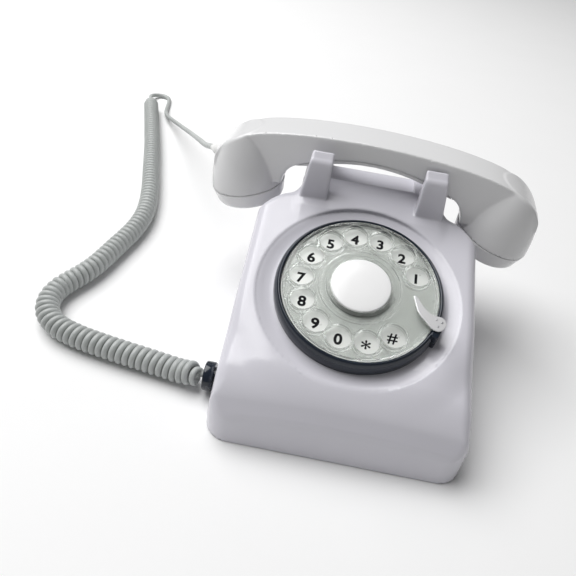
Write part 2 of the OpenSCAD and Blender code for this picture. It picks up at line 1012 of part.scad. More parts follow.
module handset_cover() {
    color([0.88, 0.88, 0.88])
        at_handset()
            difference() {
                intersection() {
                    rotate([90, 0, 0])
                        linear_extrude(handle_w - 0.6, center = true)
                            polygon([[-61, 86], [61, 86], [61, 130], [-61, 130]]);
                    translate([0, 0, under_z])
                        rotate([90, 0, 0])
                            ring(under_r + 2.6, under_r, -20, 20);
                }
                handset_cone(-1, -0.3);
                handset_cone(1, -0.3);
                at_cover_screws()
                    translate([0, 0, -5])
                        cylinder(h = 10, r = 1.5);
            }
}

module cover_screws() {
    color([0.7, 0.7, 0.72])
        at_handset()
            at_cover_screws()
                translate([0, 0, -1.52])
                    screw(2.6, 1.4, 1.4, 6);
}

module cap_form() {
    difference() {
        rotate_extrude($fn = 96)
            polygon([
                [0, -cap_h], [cap_r - 6, -cap_h], [cap_r - 3.4, -cap_h + 0.9], [cap_r - 1.6, -cap_h + 2.8],
                [cap_r, -0.3], [cap_r - 2.6, -0.3], [cap_r - 4.2, -cap_h + 3.4],
                [cap_r - 6.4, -cap_h + 2.2], [0, -cap_h + 2.2]
            ]);
        for (k = [0:5])
            rotate([0, 0, k * 60])
                translate([9, 0, -cap_h - 1])
                    cylinder(h = 5, r = 1.5);
        translate([0, 0, -cap_h - 1])
            cylinder(h = 5, r = 1.5);
    }
}

module ear_cap() {
    color([0.9, 0.9, 0.9])
        at_handset()
            at_cap(1)
                cap_form();
}

module mouth_cap() {
    color([0.9, 0.9, 0.9])
        at_handset()
            at_cap(-1)
                cap_form();
}

module receiver_capsule() {
    color([0.15, 0.15, 0.17])
        at_handset()
            at_cap(1) {
                disc(20, -10.6, -1);
                disc(12, -1, 6);
            }
}

module microphone_capsule() {
    color([0.15, 0.15, 0.17])
        at_handset()
            at_cap(-1) {
                disc(18, -10.6, -4);
                disc(8, -4, 0);
            }
}

module ballast_weights() {
    color([0.5, 0.5, 0.52])
        at_handset()
            for (s = [-1, 1])
                translate([s * 30 - 12, -8, 121])
                    cube([24, 16, 7]);
}

// The cord's bushing: a plug through the handset's end and a taper that points along the cord.
module boot_form(gap) {
    out = unit(tail_route[len(tail_route) - 2] - last(tail_route));
    at_handset()
        translate([-117.6, 0, boot_z])
            rotate([0, 90, 0])
                cylinder(h = 10, r = 2.4 + gap);
    translate(last(tail_route))
        rotate([0, acos(-out[2]), atan2(-out[1], -out[0])])
            cylinder(h = 15, r1 = 2.4 + gap, r2 = 4.2 + gap);
}

module cord_boot() {
    color([0.9, 0.91, 0.9])
        boot_form(0);
}

module coil_cord() {
    color([0.83, 0.84, 0.82])
        tube_along(coil_route, coil_r, 12);
}

module cord_tail() {
    color([0.83, 0.84, 0.82])
        tube_along(tail_route, tail_d / 2, 10);
}

housing();
base_plate();
rubber_feet();
base_screws();
dial_bezel();
number_plate();
finger_stop();
stop_rivets();
cord_socket();
line_jack();
dial_frame();
dial_screws();
dial_bridge();
bridge_screws();
idler_pin();
governor_cup();
contact_block();
contact_springs();
finger_wheel();
centre_disc();
hub_screw();
dial_shaft();
drive_gear();
pulse_cam();
main_spring();
idler_gear();
governor_rotor();
governor_weights();
hook_plungers();
hook_lever();
hook_bracket();
hook_pin();
hook_spring();
hook_switch();
circuit_board();
board_screws();
transformer();
capacitors();
line_chips();
terminal_block();
ringer_frame();
ringer_coil();
clapper();
gong_left();
gong_right();
gong_screws();
handset_shell();
handset_cover();
cover_screws();
ear_cap();
mouth_cap();
receiver_capsule();
microphone_capsule();
ballast_weights();
cord_boot();
coil_cord();
cord_tail();
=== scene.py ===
"""Looks of a rotary desk telephone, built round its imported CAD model.

Moulded parts are drawn as distance fields in millimetres and skinned with quads;
turned parts are lathed, and the cord is one tube wound along its route.
"""

import itertools
import math

import bmesh
import bpy
import numpy as np
from mathutils import Matrix, Vector


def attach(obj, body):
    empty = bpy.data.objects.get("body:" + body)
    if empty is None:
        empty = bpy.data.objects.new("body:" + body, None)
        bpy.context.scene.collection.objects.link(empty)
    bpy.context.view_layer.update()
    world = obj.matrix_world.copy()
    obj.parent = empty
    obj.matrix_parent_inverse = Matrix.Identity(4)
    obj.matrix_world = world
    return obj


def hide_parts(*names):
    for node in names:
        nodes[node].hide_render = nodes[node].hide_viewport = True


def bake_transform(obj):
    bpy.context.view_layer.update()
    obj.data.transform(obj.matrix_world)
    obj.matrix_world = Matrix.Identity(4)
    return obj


MM = 0.001
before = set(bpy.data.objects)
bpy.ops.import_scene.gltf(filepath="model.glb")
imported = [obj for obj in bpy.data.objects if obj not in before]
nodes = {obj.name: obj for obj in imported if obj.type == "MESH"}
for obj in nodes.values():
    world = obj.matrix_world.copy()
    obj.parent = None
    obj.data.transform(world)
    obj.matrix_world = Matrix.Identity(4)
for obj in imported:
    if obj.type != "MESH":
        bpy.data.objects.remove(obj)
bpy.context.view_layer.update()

# Driving sizes, in millimetres and radians.
BODY_W = 160
BODY_D = 210
RIM_Z = 4
DIAL_Y = -27
DIAL_Z = 77
DIAL_TILT = math.radians(19)
SLOPE_W = -8
FRONT_LEAN = 0.09
SIDE_LEAN = 0.0968
DECK_FRONT_Y = -45
DECK_Z = 62
CRADLE_HALF_W = 50
SADDLE_Z = 98
PRONG_IN_X = 31
PLUNGER_X = 40
JACK_X = 38
JACK_Z = 17
SOCKET_X = -88
SOCKET_Y = -68
SOCKET_Z = 13
SHELL_WALL = 2.2
DISH_R = 65.2
HOLE_CIRCLE_R = 38
HOLE_R = 7.8
FIRST_HOLE = math.radians(24)
HOLE_PITCH = math.radians(25.8)
WHEEL_R = 49.2
COLLAR_R = 9.2
DIAL_WELL_R = 51
PLATE_W = -4
HANDSET_Y = 66.5
HANDSET_YAW = math.radians(-4.5)
HANDLE_W = 29
UNDER_R = 118.7
UNDER_Z = -1.7
CAP_R = 28
CAP_X = 93
CAP_SEAM_Z = 79
CAP_LEAN = math.radians(14)
CONE_LEAN = math.radians(8)
COVER_SCREW_TURN = math.radians(10.7)
CAP_H = 13
COIL_R = 8.7
WIRE_D = 4.6
COIL_PITCH = 4.9
COIL_POINTS = 20


# ---------------------------------------------------------------- camera

def make_camera():
    data = bpy.data.cameras.new("camera")
    data.lens = 34.18
    data.sensor_width = 36
    data.clip_start, data.clip_end = 0.01, 20
    cam = bpy.data.objects.new("camera", data)
    bpy.context.scene.collection.objects.link(cam)
    right = Vector((0.9820, 0.1495, 0.1153))
    back = Vector((0.0377, -0.7537, 0.6561)).normalized()
    up = back.cross(right).normalized()
    right = up.cross(back)
    turn = Matrix((right, up, back)).transposed().to_4x4()
    cam.matrix_world = Matrix.Translation(Vector((-31.7, -292.1, 295.2)) * MM) @ turn
    bpy.context.scene.camera = cam


# ---------------------------------------------------------------- mesh helpers

def add_mesh(name, verts, faces, body, material, sharp=None):
    """A new piece from vertices in millimetres, riding on its body."""
    mesh = bpy.data.meshes.new(name)
    mesh.from_pydata((np.asarray(verts, float) * MM).tolist(), [], faces)
    mesh.validate()
    mesh.polygons.foreach_set("use_smooth", [True] * len(mesh.polygons))
    if sharp is not None:
        mesh.set_sharp_from_angle(angle=math.radians(sharp))
    mesh.update()
    obj = bpy.data.objects.new(name, mesh)
    bpy.context.scene.collection.objects.link(obj)
    obj.data.materials.append(material)
    if body:
        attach(obj, body)
    return obj


def dial_matrix():
    """The dial's frame: its face's centre, with Z out of the face."""
    return Matrix.Translation((0, DIAL_Y, DIAL_Z)) @ Matrix.Rotation(DIAL_TILT, 4, "X")


def handset_matrix():
    """The handset's frame: X along the handle, above the cradle."""
    return Matrix.Translation((0, HANDSET_Y, 0)) @ Matrix.Rotation(HANDSET_YAW, 4, "Z")


def cap_matrix(side, lean=CAP_LEAN):
    """The frame of an end of the handset, at its cap's seam. Side is 1 for the ear and -1 for the mouth."""
    place = Matrix.Translation((side * CAP_X, 0, CAP_SEAM_Z))
    return handset_matrix() @ place @ Matrix.Rotation(side * lean, 4, "Y")


def moved(matrix, points):
    m = np.array(matrix)
    return np.asarray(points, float) @ m[:3, :3].T + m[:3, 3]


def local(matrix, points):
    """Points of the row frame, in the frame of the matrix."""
    return moved(matrix.inverted(), points)


def lathe(name, profile, matrix, body, material, steps=160, sharp=40):
    """A closed profile of (radius, height) points turned round the matrix's Z axis."""
    turns = np.arange(steps) * 2 * math.pi / steps
    verts = [(r * math.cos(t), r * math.sin(t), h) for t in turns for r, h in profile]
    n = len(profile)
    faces = []
    for i in range(steps):
        a, b = i * n, (i + 1) % steps * n
        for k in range(n):
            j = (k + 1) % n
            faces.append([a + k, b + k, b + j, a + j])
    obj = add_mesh(name, moved(matrix, verts), faces, None, material)
    weld(obj)
    obj.data.set_sharp_from_angle(angle=math.radians(sharp))
    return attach(obj, body)


def weld(obj):
    """Joins coincident points, such as those on a lathe's axis."""
    bm = bmesh.new()
    bm.from_mesh(obj.data)
    bmesh.ops.remove_doubles(bm, verts=bm.verts, dist=1e-7)
    bmesh.ops.dissolve_degenerate(bm, edges=bm.edges, dist=1e-8)
    bmesh.ops.recalc_face_normals(bm, faces=bm.faces)
    bm.to_mesh(obj.data)
    bm.free()
    obj.data.polygons.foreach_set("use_smooth", [True] * len(obj.data.polygons))


def arc(cx, cy, r, start, end, steps):
    """Points of a circular arc, angles in degrees."""
    angles = np.radians(np.linspace(start, end, steps + 1))
    return [(cx + r * math.cos(a), cy + r * math.sin(a)) for a in angles]


# ---------------------------------------------------------------- distance fields

def both(a, b, r):
    """Where both solids are, with their meeting edge rounded to r (a number, or one per point)."""
    return np.minimum(np.maximum(a, b), -r) + np.hypot(np.maximum(a + r, 0), np.maximum(b + r, 0))


def either(a, b, r):
    """Two fields joined, with a fillet of radius r."""
    return -both(-a, -b, r)


def outline(points, margin=25, cell=0.5):
    """Field of a closed flat outline."""
    pts = np.array(points, float)
    return edge_field(pts, np.roll(pts, -1, 0), margin, cell)


def edge_field(starts, ends, margin, cell):
    """Field of the area inside flat edges, from a table of exact distances."""
    low = starts.min(0) - margin
    size = np.ceil((starts.max(0) + margin - low) / cell).astype(int) + 1
    gx, gy = np.meshgrid(*[low[k] + cell * np.arange(size[k]) for k in (0, 1)], indexing="ij")
    best = np.full(gx.shape, 1e9)
    odd = np.zeros(gx.shape, bool)
    for (ax, ay), (bx, by) in zip(starts, ends):
        ex, ey = bx - ax, by - ay
        t = np.clip(((gx - ax) * ex + (gy - ay) * ey) / (ex * ex + ey * ey + 1e-12), 0, 1)
        best = np.minimum(best, (gx - ax - t * ex) ** 2 + (gy - ay - t * ey) ** 2)
        if ay != by:
            crosses = (ay > gy) != (by > gy)
            odd ^= crosses & (gx < ax + (gy - ay) * ex / ey)
    table = np.sqrt(best) * np.where(odd, -1, 1)

    def field(x, y):
        i = np.clip((x - low[0]) / cell, 0, size[0] - 1.001)
        j = np.clip((y - low[1]) / cell, 0, size[1] - 1.001)
        i0, j0 = i.astype(int), j.astype(int)
        fi, fj = i - i0, j - j0
        lower = table[i0, j0] * (1 - fj) + table[i0, j0 + 1] * fj
        upper = table[i0 + 1, j0] * (1 - fj) + table[i0 + 1, j0 + 1] * fj
        return lower * (1 - fi) + upper * fi

    return field


def smooth_step(x):
    x = np.clip(x, 0, 1)
    return x * x * (3 - 2 * x)


def slope_of(field, p, step=0.05):
    """The field's value at each point and its gradient there."""
    grad = np.empty_like(p)
    for k in range(3):
        shift = np.zeros(3)
        shift[k] = step
        grad[:, k] = (field(p + shift) - field(p - shift)) / (2 * step)
    return field(p), grad


def skin(field, low, high, cell, steps=5):
    """Quads on a field's surface: one vertex in each cell that the surface crosses, moved onto it."""
    low = np.array(low, float)
    count = np.ceil((np.array(high, float) - low) / cell).astype(int) + 1
    gx, gy, gz = np.meshgrid(*[low[k] + cell * np.arange(count[k]) for k in range(3)], indexing="ij")
    grid = np.stack([gx.ravel(), gy.ravel(), gz.ravel()], -1)
    values = np.concatenate([field(part) for part in np.array_split(grid, max(1, len(grid) // 400000))])
    inside = (values < 0).reshape(count)
    n = count - 1
    filled = sum(
        inside[dx:n[0] + dx, dy:n[1] + dy, dz:n[2] + dz].astype(np.int8)
        for dx, dy, dz in itertools.product((0, 1), repeat=3)
    )
    active = (filled > 0) & (filled < 8)
    index = np.full(active.shape, -1, np.int64)
    index[active] = np.arange(active.sum())
    verts = low + (np.argwhere(active) + 0.5) * cell
    for _ in range(steps):
        value, grad = slope_of(field, verts)
        size = np.maximum((grad * grad).sum(1), 0.2)
        verts -= np.clip(value / size, -cell, cell)[:, None] * grad
    faces = []
    for a in range(3):
        b, c = (a + 1) % 3, (a + 2) % 3
        first = np.take(inside, range(count[a] - 1), axis=a)
        change = np.argwhere(first != np.take(inside, range(1, count[a]), axis=a))
        keep = (change[:, b] > 0) & (change[:, c] > 0) & (change[:, b] < n[b]) & (change[:, c] < n[c])
        change = change[keep]
        quad = []
        for db, dc in ((-1, -1), (0, -1), (0, 0), (-1, 0)):
            at = change.copy()
            at[:, b] += db
            at[:, c] += dc
            quad.append(index[at[:, 0], at[:, 1], at[:, 2]])
        quad = np.stack(quad, 1)
        outward = first[change[:, 0], change[:, 1], change[:, 2]]
        quad[~outward] = quad[~outward][:, ::-1]
        faces.append(quad)
    return verts, np.concatenate(faces)


# ---------------------------------------------------------------- materials

def finish_material(name, color, rough, metal=0.0, spread=0.06, grain=900.0, bump=0.02, tint=0.03, **sockets):
    """A procedural finish: slow colour drift, roughness that varies with wear, and a fine surface grain."""
    mat = bpy.data.materials.new(name)
    mat.use_nodes = True
    tree = mat.node_tree
    shader = tree.nodes["Principled BSDF"]
    coord = tree.nodes.new("ShaderNodeTexCoord")

    def noise(scale, detail):
        node = tree.nodes.new("ShaderNodeTexNoise")
        node.inputs["Scale"].default_value = scale
        node.inputs["Detail"].default_value = detail
        tree.links.new(coord.outputs["Object"], node.inputs["Vector"])
        return node

    drift = noise(14, 3)
    shade = tree.nodes.new("ShaderNodeValToRGB")
    dark = [max(0.0, c * (1 - tint)) for c in color]
    light = [min(1.0, c * (1 + tint)) for c in color]
    shade.color_ramp.elements[0].color = (*dark, 1)
    shade.color_ramp.elements[0].position = 0.3
    shade.color_ramp.elements[1].color = (*light, 1)
    shade.color_ramp.elements[1].position = 0.7
    tree.links.new(drift.outputs["Fac"], shade.inputs["Fac"])
    tree.links.new(shade.outputs["Color"], shader.inputs["Base Color"])

    wear = noise(220, 6)
    level = tree.nodes.new("ShaderNodeMapRange")
    level.inputs["From Min"].default_value = 0.3
    level.inputs["From Max"].default_value = 0.7
    level.inputs["To Min"].default_value = max(0.02, rough - spread)
    level.inputs["To Max"].default_value = min(1, rough + spread)
    tree.links.new(wear.outputs["Fac"], level.inputs["Value"])
    tree.links.new(level.outputs["Result"], shader.inputs["Roughness"])

    fine = noise(grain, 4)
    relief = tree.nodes.new("ShaderNodeBump")
    relief.inputs["Strength"].default_value = bump
    relief.inputs["Distance"].default_value = 0.0002
    tree.links.new(fine.outputs["Fac"], relief.inputs["Height"])
    tree.links.new(relief.outputs["Normal"], shader.inputs["Normal"])

    shader.inputs["Metallic"].default_value = metal
    for key, value in sockets.items():
        shader.inputs[key.replace("_", " ")].default_value = value
    return mat


def clear_material():
    """Clear acrylic that lets more light straight through where it is seen face on."""
    clear = finish_material("clear_acrylic", (0.925, 0.93, 0.915), 0.04, 0, 0.02, 240, 0.02, 0.01, IOR=1.5)
    tree = clear.node_tree
    shader = tree.nodes["Principled BSDF"]
    shader.inputs["Transmission Weight"].default_value = 0.97
    through = tree.nodes.new("ShaderNodeBsdfTransparent")
    through.inputs["Color"].default_value = (0.97, 0.985, 0.98, 1)
    mixed = tree.nodes.new("ShaderNodeMixShader")
    facing = tree.nodes.new("ShaderNodeLayerWeight")
    facing.inputs["Blend"].default_value = 0.4
    share = tree.nodes.new("ShaderNodeMapRange")
    share.inputs["To Min"].default_value = 0.5
    share.inputs["To Max"].default_value = 1.0
    tree.links.new(facing.outputs["Facing"], share.inputs["Value"])
    tree.links.new(share.outputs["Result"], mixed.inputs["Fac"])
    tree.links.new(through.outputs[0], mixed.inputs[1])
    tree.links.new(shader.outputs[0], mixed.inputs[2])
    tree.links.new(mixed.outputs[0], tree.nodes["Material Output"].inputs["Surface"])
    return clear


def make_materials():
    made = {
        "shell": finish_material("shell_abs", (0.69, 0.68, 0.735), 0.2, bump=0.03, tint=0.012, grain=260),
        "handset": finish_material("handset_abs", (0.77, 0.77, 0.775), 0.2, bump=0.03, tint=0.012, grain=260),
        "black": finish_material("black_gloss", (0.012, 0.018, 0.03), 0.16, bump=0.03, tint=0.2, grain=400),
        "base": finish_material("black_textured", (0.02, 0.02, 0.024), 0.5, bump=0.5, tint=0.15, grain=1500),
        "rubber": finish_material("rubber_foot", (0.02, 0.02, 0.02), 0.8, bump=0.4, tint=0.2, grain=1200),
        "steel": finish_material("screw_steel", (0.55, 0.55, 0.57), 0.32, 1, 0.1, 1800, 0.15, 0.06),
        "zinc": finish_material("zinc_steel", (0.5, 0.52, 0.55), 0.42, 1, 0.12, 700, 0.12, 0.12),
        "shaft": finish_material("ground_steel", (0.6, 0.6, 0.62), 0.25, 1, 0.08, 2500, 0.1, 0.05),
        "brass": finish_material("brass", (0.72, 0.5, 0.2), 0.3, 1, 0.1, 900, 0.1, 0.12),
        "plate": finish_material("plate_paint", (0.78, 0.8, 0.77), 0.34, 0.15, 0.08, 1500, 0.06, 0.05),
        "print": finish_material(
            "print_ink", (0.012, 0.012, 0.014), 0.8, 0, 0.1, 2000, 0.1, 0.2, Specular_IOR_Level=0.08
        ),
        "stop": finish_material("stop_enamel", (0.82, 0.82, 0.83), 0.14, 0.25, 0.05, 500, 0.03, 0.03),
        "nylon": finish_material("nylon", (0.72, 0.71, 0.66), 0.45, 0, 0.08, 900, 0.1, 0.04),
        "disc": finish_material("centre_white", (0.95, 0.95, 0.95), 0.22, 0, 0.05, 300, 0.02, 0.01),
        "bakelite": finish_material("phenolic", (0.12, 0.05, 0.025), 0.5, 0, 0.1, 1300, 0.2, 0.25),
        "spring": finish_material("spring_steel", (0.32, 0.33, 0.36), 0.35, 1, 0.1, 1600, 0.1, 0.1),
        "cast": finish_material("zinc_cast", (0.3, 0.3, 0.31), 0.6, 0.8, 0.12, 1400, 0.5, 0.15),
        "board": finish_material("board_green", (0.03, 0.16, 0.07), 0.35, 0, 0.08, 1100, 0.1, 0.15),
        "sleeve": finish_material("sleeve_blue", (0.03, 0.05, 0.2), 0.35, 0, 0.08, 700, 0.08, 0.15),
        "copper": finish_material("copper_wire", (0.5, 0.18, 0.07), 0.35, 1, 0.12, 2600, 0.8, 0.15),
        "bell": finish_material("bell_metal", (0.62, 0.6, 0.54), 0.2, 1, 0.07, 600, 0.08, 0.06),
        "cord": finish_material("cord_pvc", (0.46, 0.48, 0.47), 0.38, 0, 0.08, 1400, 0.12, 0.04),
        "boot": finish_material("boot_pvc", (0.8, 0.8, 0.79), 0.4, 0, 0.08, 1200, 0.1, 0.03),
    }
    made["clear"] = clear_material()
    return made


CARRIED = {
    "base": "base_plate line_chips hook_switch receiver_capsule microphone_capsule",
    "rubber": "rubber_feet",
    "steel": "base_screws dial_screws bridge_screws hub_screw board_screws gong_screws cover_screws",
    "zinc": "dial_frame dial_bridge hook_bracket hook_lever ringer_frame transformer",
    "shaft": "idler_pin dial_shaft governor_rotor hook_pin clapper",
    "brass": "governor_cup contact_springs drive_gear idler_gear",
    "plate": "number_plate",
    "nylon": "line_jack hook_plungers pulse_cam",
    "bakelite": "contact_block",
    "spring": "main_spring hook_spring",
    "cast": "governor_weights ballast_weights",
    "board": "circuit_board terminal_block",
    "sleeve": "capacitors",
    "copper": "ringer_coil",
    "bell": "gong_left gong_right",
}


def dress_cad(mats):
    """Gives every CAD node that stays its finished material."""
    for key, names in CARRIED.items():
        for name in names.split():
            nodes[name].data.materials.clear()
            nodes[name].data.materials.append(mats[key])


# ---------------------------------------------------------------- cord

COIL_ROUTE = [
    (-88, -68, 13), (-92, -67.9, 12.6), (-104, -65.6, 9.4), (-117, -63.4, 8.8), (-130, -61.4, 8.8),
    (-143, -59.6, 8.8), (-156, -57.6, 8.8), (-170, -55.2, 8.8), (-183, -52.4, 8.8), (-196, -48, 8.8),
    (-206, -41.2, 8.8), (-212.6, -32, 8.8), (-215.2, -21, 8.8), (-213.6, -10, 8.8), (-209, 0, 8.8),
    (-204, 10, 8.8), (-199.6, 22, 8.8), (-196.6, 35, 8.8), (-193.8, 49, 8.8), (-190.8, 63, 8.8),
    (-188.6, 77, 8.8), (-188, 92, 8.8), (-189.4, 107, 8.8), (-192.4, 122, 8.8), (-196.6, 138, 8.8),
    (-201.8, 155, 8.8), (-207.4, 172, 8.8), (-213.2, 190, 8.8), (-219, 208, 8.8), (-225, 226, 8.8),
    (-231.4, 244, 8.8), (-237.8, 262, 8.8), (-244.2, 280, 8.8), (-250.8, 298, 8.8), (-257.4, 316, 8.8),
    (-263, 332, 8.8),
]
TAIL_ROUTE = [
    (-267.4, 343, 8.2), (-269.4, 352.6, 5.8), (-266.6, 361.4, 3.6), (-258.6, 365.2, 2.5),
    (-250.6, 360.8, 2.4), (-247.2, 351.6, 2.4), (-245, 341, 2.4), (-243, 330.6, 2.9),
    (-240.6, 320.4, 3.8), (-236.8, 310.4, 5.2), (-231.4, 300.2, 7.2), (-223.4, 289, 10.2),
    (-215.2, 276.4, 14), (-206.6, 262.6, 18.6), (-197.8, 247, 24), (-188.8, 230.6, 30.2),
    (-179.6, 212.6, 37.2), (-170.2, 193, 45), (-161, 172.6, 53.4), (-152, 152.4, 61.8),
    (-143.4, 131.8, 70.4), (-136.4, 114.8, 78.4), (-130.6, 100.4, 86), (-126.6, 91.6, 90.4),
    (-124.4, 87.2, 92.4),
]


def spline(points, step):
    """A smooth line through the points (Catmull-Rom), resampled to an even step."""
    p = np.array(points, float)
    p = np.vstack([2 * p[0] - p[1], p, 2 * p[-1] - p[-2]])
    t = np.linspace(0, 1, 24, endpoint=False)[:, None]
    line = [
        0.5 * (2 * b + (c - a) * t + (2 * a - 5 * b + 4 * c - d) * t**2 + (3 * b - a - 3 * c + d) * t**3)
        for a, b, c, d in zip(p, p[1:], p[2:], p[3:])
    ]
    return evened(np.vstack([*line, p[-2:-1]]), step)


def evened(line, step):
    """The same line with its points an even step apart."""
    run = np.concatenate([[0], np.cumsum(np.linalg.norm(np.diff(line, axis=0), axis=1))])
    count = max(2, int(round(run[-1] / step)) + 1)
    return np.stack([np.interp(np.linspace(0, run[-1], count), run, line[:, k]) for k in range(3)], 1)


def tube(path, radius, sides):
    """Vertices and faces of a closed tube along a path, without twist. Radius is a number or one per ring."""
    path = np.asarray(path, float)
    radius = np.broadcast_to(radius, len(path))
    ahead = np.gradient(path, axis=0)
    ahead /= np.linalg.norm(ahead, axis=1)[:, None]
    side = np.cross(ahead[0], (0, 0, 1.0))
    side /= np.linalg.norm(side)
    verts, angles = [], np.arange(sides) * 2 * math.pi / sides
    for centre, along, r in zip(path, ahead, radius):
        side = side - along * (side @ along)
        side /= np.linalg.norm(side)
        up = np.cross(side, along)
        verts.append(centre + r * (np.cos(angles)[:, None] * side + np.sin(angles)[:, None] * up))
    faces = [
        [i * sides + k, i * sides + (k + 1) % sides, (i + 1) * sides + (k + 1) % sides, (i + 1) * sides + k]
        for i in range(len(path) - 1)
        for k in range(sides)
    ]
    last = (len(path) - 1) * sides
    faces += [list(range(sides))[::-1], [last + k for k in range(sides)]]
    return np.vstack(verts), faces


def make_cord(mats):
    """The coiled cord: a helix along the coil's route that opens into the straight tail."""
    middle = spline(COIL_ROUTE, 1.0)
    run = np.arange(len(middle)) * 1.0
    length = run[-1]
    wind_r = COIL_R - WIRE_D / 2
    along = np.arange(0, length, COIL_PITCH / COIL_POINTS)
    at = np.stack([np.interp(along, run, middle[:, k]) for k in range(3)], 1)
    ahead = np.gradient(at, axis=0)
    ahead /= np.linalg.norm(ahead, axis=1)[:, None]
    side = np.cross(ahead, (0, 0, 1.0))
    side /= np.linalg.norm(side, axis=1)[:, None]
    up = np.cross(side, ahead)
    # The winding opens out at the start and closes again at the far end.
    ease = smooth_step(along / 8) * smooth_step((length - along) / 12)
    angle = np.cumsum(ease) * 2 * math.pi / COIL_POINTS
    reach = wind_r * ease
    helix = at + reach[:, None] * (np.cos(angle)[:, None] * side + np.sin(angle)[:, None] * up)
    tail = spline(TAIL_ROUTE, 2.0)
    path = evened(np.vstack([helix, tail]), 1.1)
    # Evens out the small corners where the helix meets the tail.
    for _ in range(6):
        path[1:-1] = (path[:-2] + 2 * path[1:-1] + path[2:]) / 4
    verts, faces = tube(path, WIRE_D / 2, 10)
    cord = add_mesh("handset_cord", verts, faces, None, mats["cord"])
    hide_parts("coil_cord", "cord_tail")
    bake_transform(cord)


# ---------------------------------------------------------------- housing

def slope_height(y):
    """Height of the sloping face over the table."""
    start_y = DIAL_Y - SLOPE_W * math.sin(DIAL_TILT)
    start_z = DIAL_Z + SLOPE_W * math.cos(DIAL_TILT)
    return start_z + (y - start_y) * math.tan(DIAL_TILT)


def plan_field(half_w, front, back, r_front, r_back):
    """Outline seen from above, with its own corner radius at the front and the back."""
    middle = (front + back) / 2

    def field(x, y):
        r = np.where(y < middle, r_front, r_back)
        qx = np.abs(x) - half_w + r
        qy = np.abs(y - middle) - (back - front) / 2 + r
        return np.hypot(np.maximum(qx, 0), np.maximum(qy, 0)) + np.minimum(np.maximum(qx, qy), 0) - r

    return field


def housing_field():
    half_w, half_d = BODY_W / 2, BODY_D / 2
    dial_plan = plan_field(half_w, -half_d, 49, 15, 34)
    deck_plan = plan_field(half_w, -40, half_d, 15, 24)
    deck_side = outline([
        (DECK_FRONT_Y, 0), (DECK_FRONT_Y, DECK_Z), (20, DECK_Z), *arc(90, 36, 12, 80, 4, 10), (half_d, 0),
    ])
    crest = slope_height(58) + 3.3
    block_side = outline([
        (20, 0), (20, 76), (34, slope_height(34) - 0.2), (57.2, crest), (58.6, crest - 0.6),
        (59.2, crest - 2), (59.6, 96), (60.4, 95), *arc(86, 87, 8, 90, 5, 8), (99, 46), (99, 0),
    ])
    prong_side = outline([
        (91.2, 80), (38.5, 80), *arc(43.5, 118, 5, 180, 112, 6), *arc(45.2, 124.2, 1.8, 80, 0, 4), (47, 110),
        (86.2, 110), (86.2, 122), (89.8, 122), (91.2, 108),
    ])
    dial = dial_matrix().inverted()

    def field(p):
        x, y, z = p.T
        u, v, w = moved(dial, p).T
        radius = np.hypot(u, v)
        # The dial part: leaning walls under the sloping face, which rolls over to a crease at the front.
        lean = (z - RIM_Z) * FRONT_LEAN * smooth_step(-y / 60)
        side = (np.abs(x) - 77 + SIDE_LEAN * (w + 17)) / math.hypot(1, SIDE_LEAN)
        crown = 5 * (u / 75) ** 2 * smooth_step((radius - 66) / 22) * smooth_step(-v / 45)
        walls = np.maximum(dial_plan(x, y - lean), side)
        crease = 27 - 5 * (x / 72) ** 2
        roll = (z - crease) * 0.55 - (y + 103) * 0.835
        top = both(w - SLOPE_W + crown, roll, 8)
        body = both(walls, top, 1.5 + 6 * smooth_step((y + 103) / 16))
        # The rear deck and the block under the cradle.
        deck = both(np.maximum(deck_plan(x, y), side), deck_side(y, z), 5)
        body = np.minimum(body, deck)
        block = both(np.abs(x) - CRADLE_HALF_W, block_side(y, z), 3)
        body = either(body, block, 7)
        # Saddles with a prong at each end.
        taper = np.maximum(z - 96, 0) * 0.14
        out = np.maximum(np.abs(x) - CRADLE_HALF_W + taper, PRONG_IN_X - np.abs(x))
        prong = both(prong_side(y, z), out, 1.1)
        bed = UNDER_R - 0.3 - np.hypot(x, z - UNDER_Z + 1.2)
        between = np.maximum(np.maximum(47 - y, y - 86.2), -bed)
        prong = np.maximum(prong, -np.maximum(between, SADDLE_Z - z))
        body = either(body, prong, 0.8)
        # The dish round the dial, its ledge and the opening.
        share = np.clip((radius - 56.5) / (DISH_R - 56.5), 0, 1)
        floor = -11 + 2.6 * share ** 1.6
        dish = np.maximum(radius - DISH_R, (floor - w) * 0.96)
        opening = np.maximum(radius - DIAL_WELL_R, w)
        body = both(body, -np.minimum(dish, opening), 1.5)
        # Holes for the plungers, the cord socket and the line socket.
        plunger = np.hypot(np.abs(x) - PLUNGER_X, y - HANDSET_Y) - 3.9
        body = np.maximum(body, -np.maximum(plunger, 90 - z))
        cord_hole = np.hypot(y - SOCKET_Y, z - SOCKET_Z) - 6.6
        body = np.maximum(body, -np.maximum(cord_hole, x + 70))
        jack = np.maximum(np.abs(x - JACK_X) - 8, np.abs(z - JACK_Z) - 7)
        body = np.maximum(body, -np.maximum(jack, 95 - y))
        return np.maximum(body, 0.8 - z)

    return field


